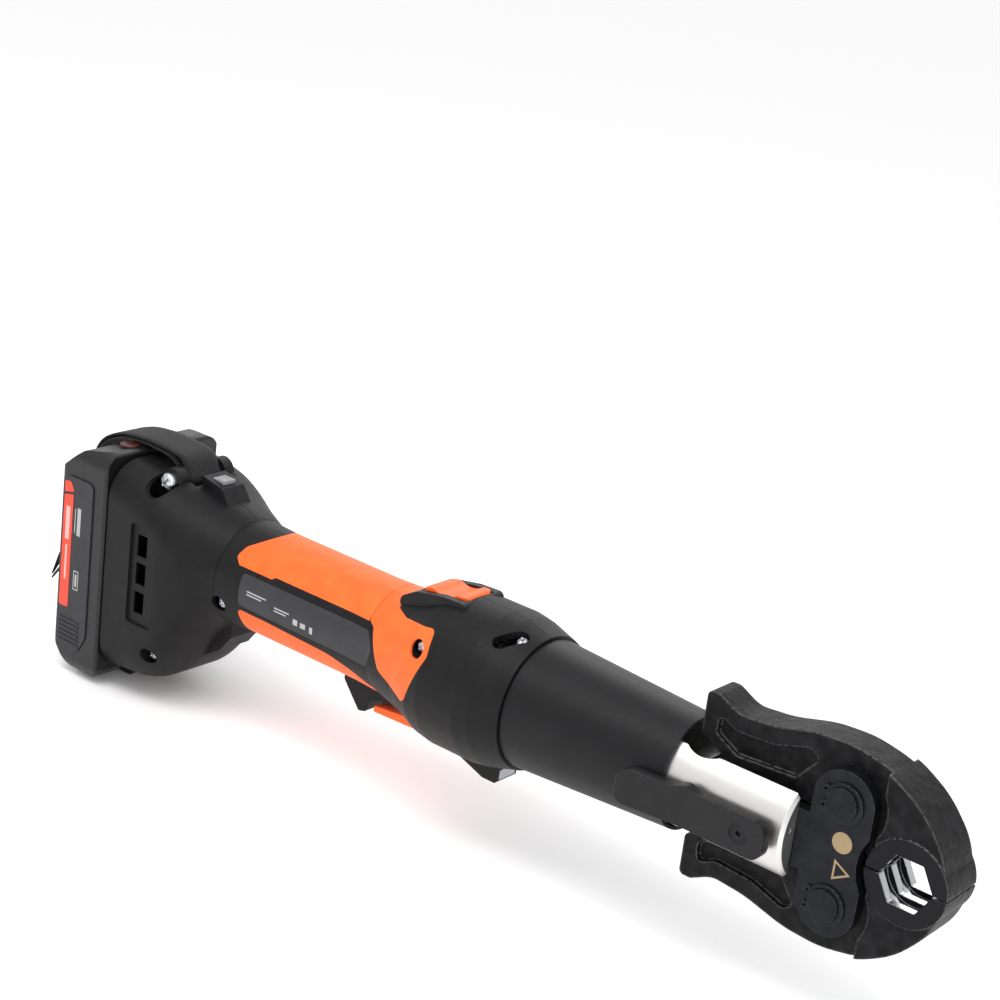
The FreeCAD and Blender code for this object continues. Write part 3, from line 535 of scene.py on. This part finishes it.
# %% Give every node its finish
finish_of = {
    "nylon_housing": nylon, "nylon_surround": surround_nylon, "sleeve_nylon": sleeve_nylon,
    "grip_orange": grip, "button_orange": button_orange, "label_grey": label_plastic,
    "lens_clear": lens_clear, "status_window": status_window, "terminal_plastic": terminal_plastic,
    "zinc_screw": zinc, "motor_steel": motor_steel, "fan_nylon": fan_plastic, "gear_steel": ground_steel,
    "pump_aluminium": pump_metal, "cylinder_steel": ground_steel, "bladder_rubber": bladder,
    "board_green": board, "battery_nylon": battery_nylon, "battery_panel": panel_plastic,
    "battery_stripe": stripe, "cell_sleeve": cell, "gauge_red": gauge, "fork_steel": fork_steel,
    "plate_black_oxide": plate_steel, "jaw_forged": jaw_steel, "pin_steel": pin_steel,
    "lever_black": lever_black, "lever_screw_black": screw_black, "strap_webbing": surround_nylon,
}
slot_of = {row["node"]: row["material_slot"] for row in frame["record"]["subparts"]}
for name, node in nodes.items():
    node.data.materials.clear()
    node.data.materials.append(finish_of[slot_of[name]])
    node.data.polygons.foreach_set("material_index", [0] * len(node.data.polygons))
print("dressed", len(nodes), "nodes with", len(finish_of), "slots")

# %% [markdown]
# ## Wrist strap
#
# The strap is flat polyester webbing, 22 mm wide. It goes round the bar between the two ears, over
# the battery and hangs behind it, and both ends are sewn together at the tip, with a slit between
# the layers above the stitches. Where it hangs free it turns about the vertical. A ribbon along a
# curve is the plain way to make webbing: its UV map runs in metres along and across the strap, so
# the weave follows it round every bend.

# %% Ribbon helpers


def smooth_line(points, steps=10):
    """A Catmull-Rom curve through the points, as points of its own."""
    ends = [points[0] * 2 - points[1]] + points + [points[-1] * 2 - points[-2]]
    line = []
    for a, b, c, d in zip(ends, ends[1:], ends[2:], ends[3:]):
        for i in range(steps):
            t = i / steps
            line.append(0.5 * (2 * b + (c - a) * t + (2 * a - 5 * b + 4 * c - d) * t * t
                               + (3 * b - a - 3 * c + d) * t ** 3))
    return line + [points[-1]]


def ribbon(name, line, width, thick, material, twist):
    """A closed flat band along a line in the XZ plane, with its UV map in metres.

    twist gives, for a point of the line, how far the band is turned about the vertical there.
    """
    mesh = bmesh.new()
    uv = mesh.loops.layers.uv.new("along")
    rings, run, across, thin_edge = [], 0.0, 8, 0.55
    for i, point in enumerate(line):
        ahead = (line[min(i + 1, len(line) - 1)] - line[max(i - 1, 0)]).normalized()
        angle = twist(point)
        across_way = Vector((-math.sin(angle), math.cos(angle), 0))
        across_way = (across_way - ahead * across_way.dot(ahead)).normalized()
        normal = ahead.cross(across_way)
        run += (point - line[i - 1]).length if i else 0.0
        ring = []
        for side, edge in ((1, range(across + 1)), (-1, range(across, -1, -1))):
            for j in edge:
                y = (j / across - 0.5) * width
                thin = thick / 2 * (thin_edge if j in (0, across) else 1.0)
                ring.append((mesh.verts.new(point + normal * side * thin + across_way * y), y, run))
        rings.append(ring)
    for one, two in zip(rings, rings[1:]):
        for k in range(len(one)):
            m = (k + 1) % len(one)
            face = mesh.faces.new([corner[0] for corner in (one[k], one[m], two[m], two[k])])
            for loop, corner in zip(face.loops, (one[k], one[m], two[m], two[k])):
                loop[uv].uv = (corner[1], corner[2])
            face.smooth = True
    for ring in (rings[0], rings[-1]):
        mesh.faces.new([corner[0] for corner in ring])
    bmesh.ops.recalc_face_normals(mesh, faces=mesh.faces)
    data = bpy.data.meshes.new(name)
    mesh.to_mesh(data)
    mesh.free()
    data.materials.append(material)
    piece = bpy.data.objects.new(name, data)
    bpy.context.scene.collection.objects.link(piece)
    return piece


# %% Webbing
WAVE_MM = 1.5        # one wave across the strap, which is two ribs side by side
WEFT_RATE = 0.8      # waves along the strap for one wave across it

webbing = Finish("polyester_webbing", "#0C0C0E", 0.75, Sheen_Weight=0.08, Specular_IOR_Level=0.3)
flat_place = webbing.add("ShaderNodeUVMap", uv_map="along").outputs["UV"]
u, v = (webbing.add("ShaderNodeSeparateXYZ", {"Vector": flat_place}).outputs[i] for i in (0, 1))
wave = 2 * math.pi * per_mm(WAVE_MM)
warp = webbing.maths("SINE", webbing.maths("MULTIPLY", u, wave))
phase = webbing.maths("MULTIPLY", webbing.maths("SIGN", warp), math.pi / 2)
weft = webbing.maths("SINE", webbing.maths("MULTIPLY_ADD", v, wave * WEFT_RATE, phase))
weft_share = webbing.maths("MULTIPLY_ADD", weft, 0.5, 0.5)
weave = webbing.maths("MULTIPLY", webbing.maths("ABSOLUTE", warp), weft_share)
webbing.colour = webbing.mix(weave, linear("#050506"), linear("#1C1C1F"))
webbing.bump(weave, 0.35)
webbing_black = webbing.finish()
print("webbing made, one rib every", WAVE_MM / 2, "mm")

# %% Strap
STRAP_WIDTH, STRAP_THICK = 22 * MM, 1.3 * MM
FULL_TWIST = math.radians(36)
TWIST_TOP, TWIST_LENGTH = 32 * MM, 40 * MM      # where it starts above the axis, and over what height
BEND_RADIUS = 4.6                               # of the strap round the bar, in mm


def at(x_mm, z_mm):
    """A point in the plane Y = 0, from the collar joint along X and from the tool's axis along Z."""
    return Vector((COLLAR_X + x_mm * MM, 0, AXIS_Z + z_mm * MM))


over = [(-233, 48.2), (-246, 50.0), (-264, 50.0), (-281, 47.0), (-293.6, 39), (-302, 20.5), (-312.5, -7.5)]
tail = [(-320, -22), (-326, -33), (-333, -45)]
outer = [at(x - 0.9, z + 0.3) for x, z in reversed(tail)]
outer[1] += Vector((-1.6, 0, 0.6)) * MM
outer += [at(x, z) for x, z in reversed(over)]
bar_x, bar_z = (STRAP_BAR.x - COLLAR_X) / MM, (STRAP_BAR.z - AXIS_Z) / MM
round_bar = [math.radians(a) for a in (50, 0, -60, -120, -180, -230)]
turn = [at(bar_x + BEND_RADIUS * math.cos(a), bar_z + BEND_RADIUS * math.sin(a)) for a in round_bar]
inner = [at(-240, 46.4), at(-250, 47.7), at(-264, 48.0), at(-280, 45.2), at(-292.0, 37.6), at(-300.3, 20),
         at(-310.4, -8.5), at(-317, -24), at(-324, -36.5), at(-331.6, -45.6)]
strap_line = smooth_line(outer + turn + inner, steps=6)


def hanging_twist(point):
    """No twist over the battery, growing to the full twist below its rear edge."""
    down = min(max((AXIS_Z + TWIST_TOP - point.z) / TWIST_LENGTH, 0.0), 1.0)
    return FULL_TWIST * down * down * (3 - 2 * down)


strap = ribbon("wrist_strap_webbing", strap_line, STRAP_WIDTH, STRAP_THICK, webbing_black, hanging_twist)
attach(strap, "body")
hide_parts("wrist_strap")

# %% [markdown]
# ## Screws
#
# Five zinc-plated pan-head screws with a cross recess hold the shells, the collar and the strap
# bar. One Geometry Nodes tree makes the head once, cuts the cross into it, and puts a copy on each
# point of a small cloud of points whose stored direction says which way the screw looks out.

# %% Node group helpers


def new_tree(name, sizes):
    """A Geometry Nodes group with one geometry in, one out, and named number inputs in metres."""
    tree = bpy.data.node_groups.new(name, "GeometryNodeTree")
    tree.interface.new_socket("Geometry", in_out="INPUT", socket_type="NodeSocketGeometry")
    for label, value in sizes.items():
        socket = tree.interface.new_socket(label, in_out="INPUT", socket_type="NodeSocketFloat")
        socket.default_value = value
    tree.interface.new_socket("Geometry", in_out="OUTPUT", socket_type="NodeSocketGeometry")
    return tree, tree.nodes.new("NodeGroupInput"), tree.nodes.new("NodeGroupOutput")


def end_tree(tree, geometry, material, output):
    real = add(tree, "GeometryNodeRealizeInstances", {"Geometry": geometry})
    painted = add(tree, "GeometryNodeSetMaterial", {"Geometry": real.outputs[0], "Material": material})
    tree.links.new(painted.outputs[0], output.inputs[0])


def grown(name, source, tree, sizes, body):
    """Runs a node group on a source mesh and keeps the result as a plain mesh on a body."""
    holder = bpy.data.objects.new(name + "_points", source)
    bpy.context.scene.collection.objects.link(holder)
    modifier = holder.modifiers.new("grow", "NODES")
    modifier.node_group = tree
    for item in tree.interface.items_tree:
        if item.in_out == "INPUT" and item.name in sizes:
            modifier[item.identifier] = sizes[item.name]
    bpy.context.view_layer.update()
    evaluated = holder.evaluated_get(bpy.context.evaluated_depsgraph_get())
    data = bpy.data.meshes.new_from_object(evaluated)
    bpy.data.objects.remove(holder)
    data.name = name
    piece = bpy.data.objects.new(name, data)
    bpy.context.scene.collection.objects.link(piece)
    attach(piece, body)
    print(name, len(data.polygons), "faces")
    return piece


def point_cloud(name, places, directions):
    data = bpy.data.meshes.new(name)
    data.from_pydata(places, [], [])
    aim = data.attributes.new("aim", "FLOAT_VECTOR", "POINT")
    for i, direction in enumerate(directions):
        aim.data[i].vector = direction
    return data


# %% Cross-head screws
CROSS_REACH = 1.25                                     # arms of the cross, to the head's radius
SHANK = {"Vertices": 16, "Radius": 1.5 * MM, "Depth": 5 * MM}
SHANK_SINK = -3 * MM
screw_sizes = {"Head radius": 3.1 * MM, "Head height": 2.0 * MM, "Cross width": 0.9 * MM}
tree, given, output = new_tree("cross_head_screws", screw_sizes)
head_radius, head_height, cross_width = (given.outputs[i] for i in (1, 2, 3))
dome = add(tree, "GeometryNodeMeshUVSphere", {"Segments": 24, "Rings": 12, "Radius": head_radius})
tall = add(tree, "ShaderNodeMath", {0: head_height, 1: head_radius}, operation="DIVIDE").outputs[0]
flatten = add(tree, "ShaderNodeCombineXYZ", {"X": 1.0, "Y": 1.0, "Z": tall})
dome = add(tree, "GeometryNodeTransform", {"Geometry": dome.outputs["Mesh"], "Scale": flatten.outputs[0]})
bar_long = add(tree, "ShaderNodeMath", {0: head_radius, 1: CROSS_REACH}, operation="MULTIPLY").outputs[0]
bars = []
for turn_deg in (45, 135):
    size = add(tree, "ShaderNodeCombineXYZ", {"X": bar_long, "Y": cross_width, "Z": head_height})
    bar = add(tree, "GeometryNodeMeshCube", {"Size": size.outputs[0]})
    lift = add(tree, "ShaderNodeCombineXYZ", {"Z": head_height})
    bar = add(tree, "GeometryNodeTransform", {"Geometry": bar.outputs["Mesh"],
                                              "Translation": lift.outputs[0],
                                              "Rotation": (0, 0, math.radians(turn_deg))})
    bars.append(bar.outputs[0])
both = add(tree, "GeometryNodeMeshBoolean", operation="UNION", solver="EXACT")
for bar in bars:
    tree.links.new(bar, both.inputs["Mesh 2"])
cut = add(tree, "GeometryNodeMeshBoolean", {"Mesh 1": dome.outputs[0]}, operation="DIFFERENCE",
          solver="EXACT")
tree.links.new(both.outputs["Mesh"], cut.inputs["Mesh 2"])
shank = add(tree, "GeometryNodeMeshCylinder", SHANK)
shank = add(tree, "GeometryNodeTransform", {"Geometry": shank.outputs["Mesh"],
                                            "Translation": (0, 0, SHANK_SINK)})
whole = add(tree, "GeometryNodeJoinGeometry")
tree.links.new(cut.outputs["Mesh"], whole.inputs[0])
tree.links.new(shank.outputs[0], whole.inputs[0])
aim = add(tree, "GeometryNodeInputNamedAttribute", {"Name": "aim"}, data_type="FLOAT_VECTOR")
turned_to = add(tree, "FunctionNodeAlignRotationToVector", {"Vector": aim.outputs["Attribute"]}, axis="Z")
placed = add(tree, "GeometryNodeInstanceOnPoints", {"Points": given.outputs[0], "Instance": whole.outputs[0],
                                                    "Rotation": turned_to.outputs[0]})
end_tree(tree, placed.outputs[0], zinc, output)

# %% Where the screws sit
COLLAR_HEAD_RADIUS = 31.2 * MM      # from the axis to the seat of the collar's screw
BAR_HEAD_Y = -20.4 * MM
outward = Vector((0, -1, 0))
collar_angle = math.radians(71)
collar_out = Vector((0, -math.cos(collar_angle), math.sin(collar_angle)))
seats = [((-184, -10), -21.6), ((-222, -50), -29.5), ((-50, 16.6), -27.5)]
screw_places = [at(x, z) + Vector((0, y * MM, 0)) for (x, z), y in seats]
screw_places.append(at(-8, 0) + collar_out * COLLAR_HEAD_RADIUS)
screws = grown("shell_screws", point_cloud("screw_points", screw_places, [outward] * 3 + [collar_out]),
               tree, screw_sizes, "body")
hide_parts("housing_screws")
bar_sizes = {"Head radius": 4.6 * MM, "Head height": 2.7 * MM, "Cross width": 1.3 * MM}
bar_place = STRAP_BAR + Vector((0, BAR_HEAD_Y, 0))
bar_head = grown("strap_bar_head", point_cloud("bar_point", [bar_place], [outward]), tree, bar_sizes, "body")

# %% [markdown]
# ## Grip ribs on the battery
#
# Below the printed stripe, each side of the battery has a patch of short raised ribs, where the
# fingers pull it off. They are one small bar, repeated down a line by Geometry Nodes.

# %% Battery ribs
RIB_COUNT = 6
RIB_BACK, RIB_FOOT = 1.5 * MM, 3.5 * MM      # back from the panel's middle, and up from its foot
rib_sizes = {"Length": 15 * MM, "Thick": 1.0 * MM, "Height": 0.9 * MM, "Pitch": 2.5 * MM}
tree, given, output = new_tree("grip_ribs", rib_sizes)
rib_length, rib_thick, rib_height, pitch = (given.outputs[i] for i in (1, 2, 3, 4))
size = add(tree, "ShaderNodeCombineXYZ", {"X": rib_length, "Y": rib_height, "Z": rib_thick})
rib = add(tree, "GeometryNodeMeshCube", {"Size": size.outputs[0]})
step = add(tree, "ShaderNodeCombineXYZ", {"Z": pitch})
ladder = add(tree, "GeometryNodeMeshLine", {"Count": RIB_COUNT, "Offset": step.outputs[0]}, mode="OFFSET")
rungs = add(tree, "GeometryNodeInstanceOnPoints", {"Points": ladder.outputs["Mesh"],
                                                   "Instance": rib.outputs["Mesh"]})
patches = add(tree, "GeometryNodeInstanceOnPoints", {"Points": given.outputs[0],
                                                     "Instance": rungs.outputs[0]})
end_tree(tree, patches.outputs[0], panel_plastic, output)
panel_low, panel_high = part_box("battery_side_right")
rib_x, rib_z = (panel_low.x + panel_high.x) / 2 - RIB_BACK, panel_low.z + RIB_FOOT
rib_points = [Vector((rib_x, panel_low.y, rib_z)), Vector((rib_x, -panel_low.y, rib_z))]
rib_cloud = point_cloud("rib_points", rib_points, [outward, -outward])
ribs = grown("battery_grip_ribs", rib_cloud, tree, rib_sizes, "battery")
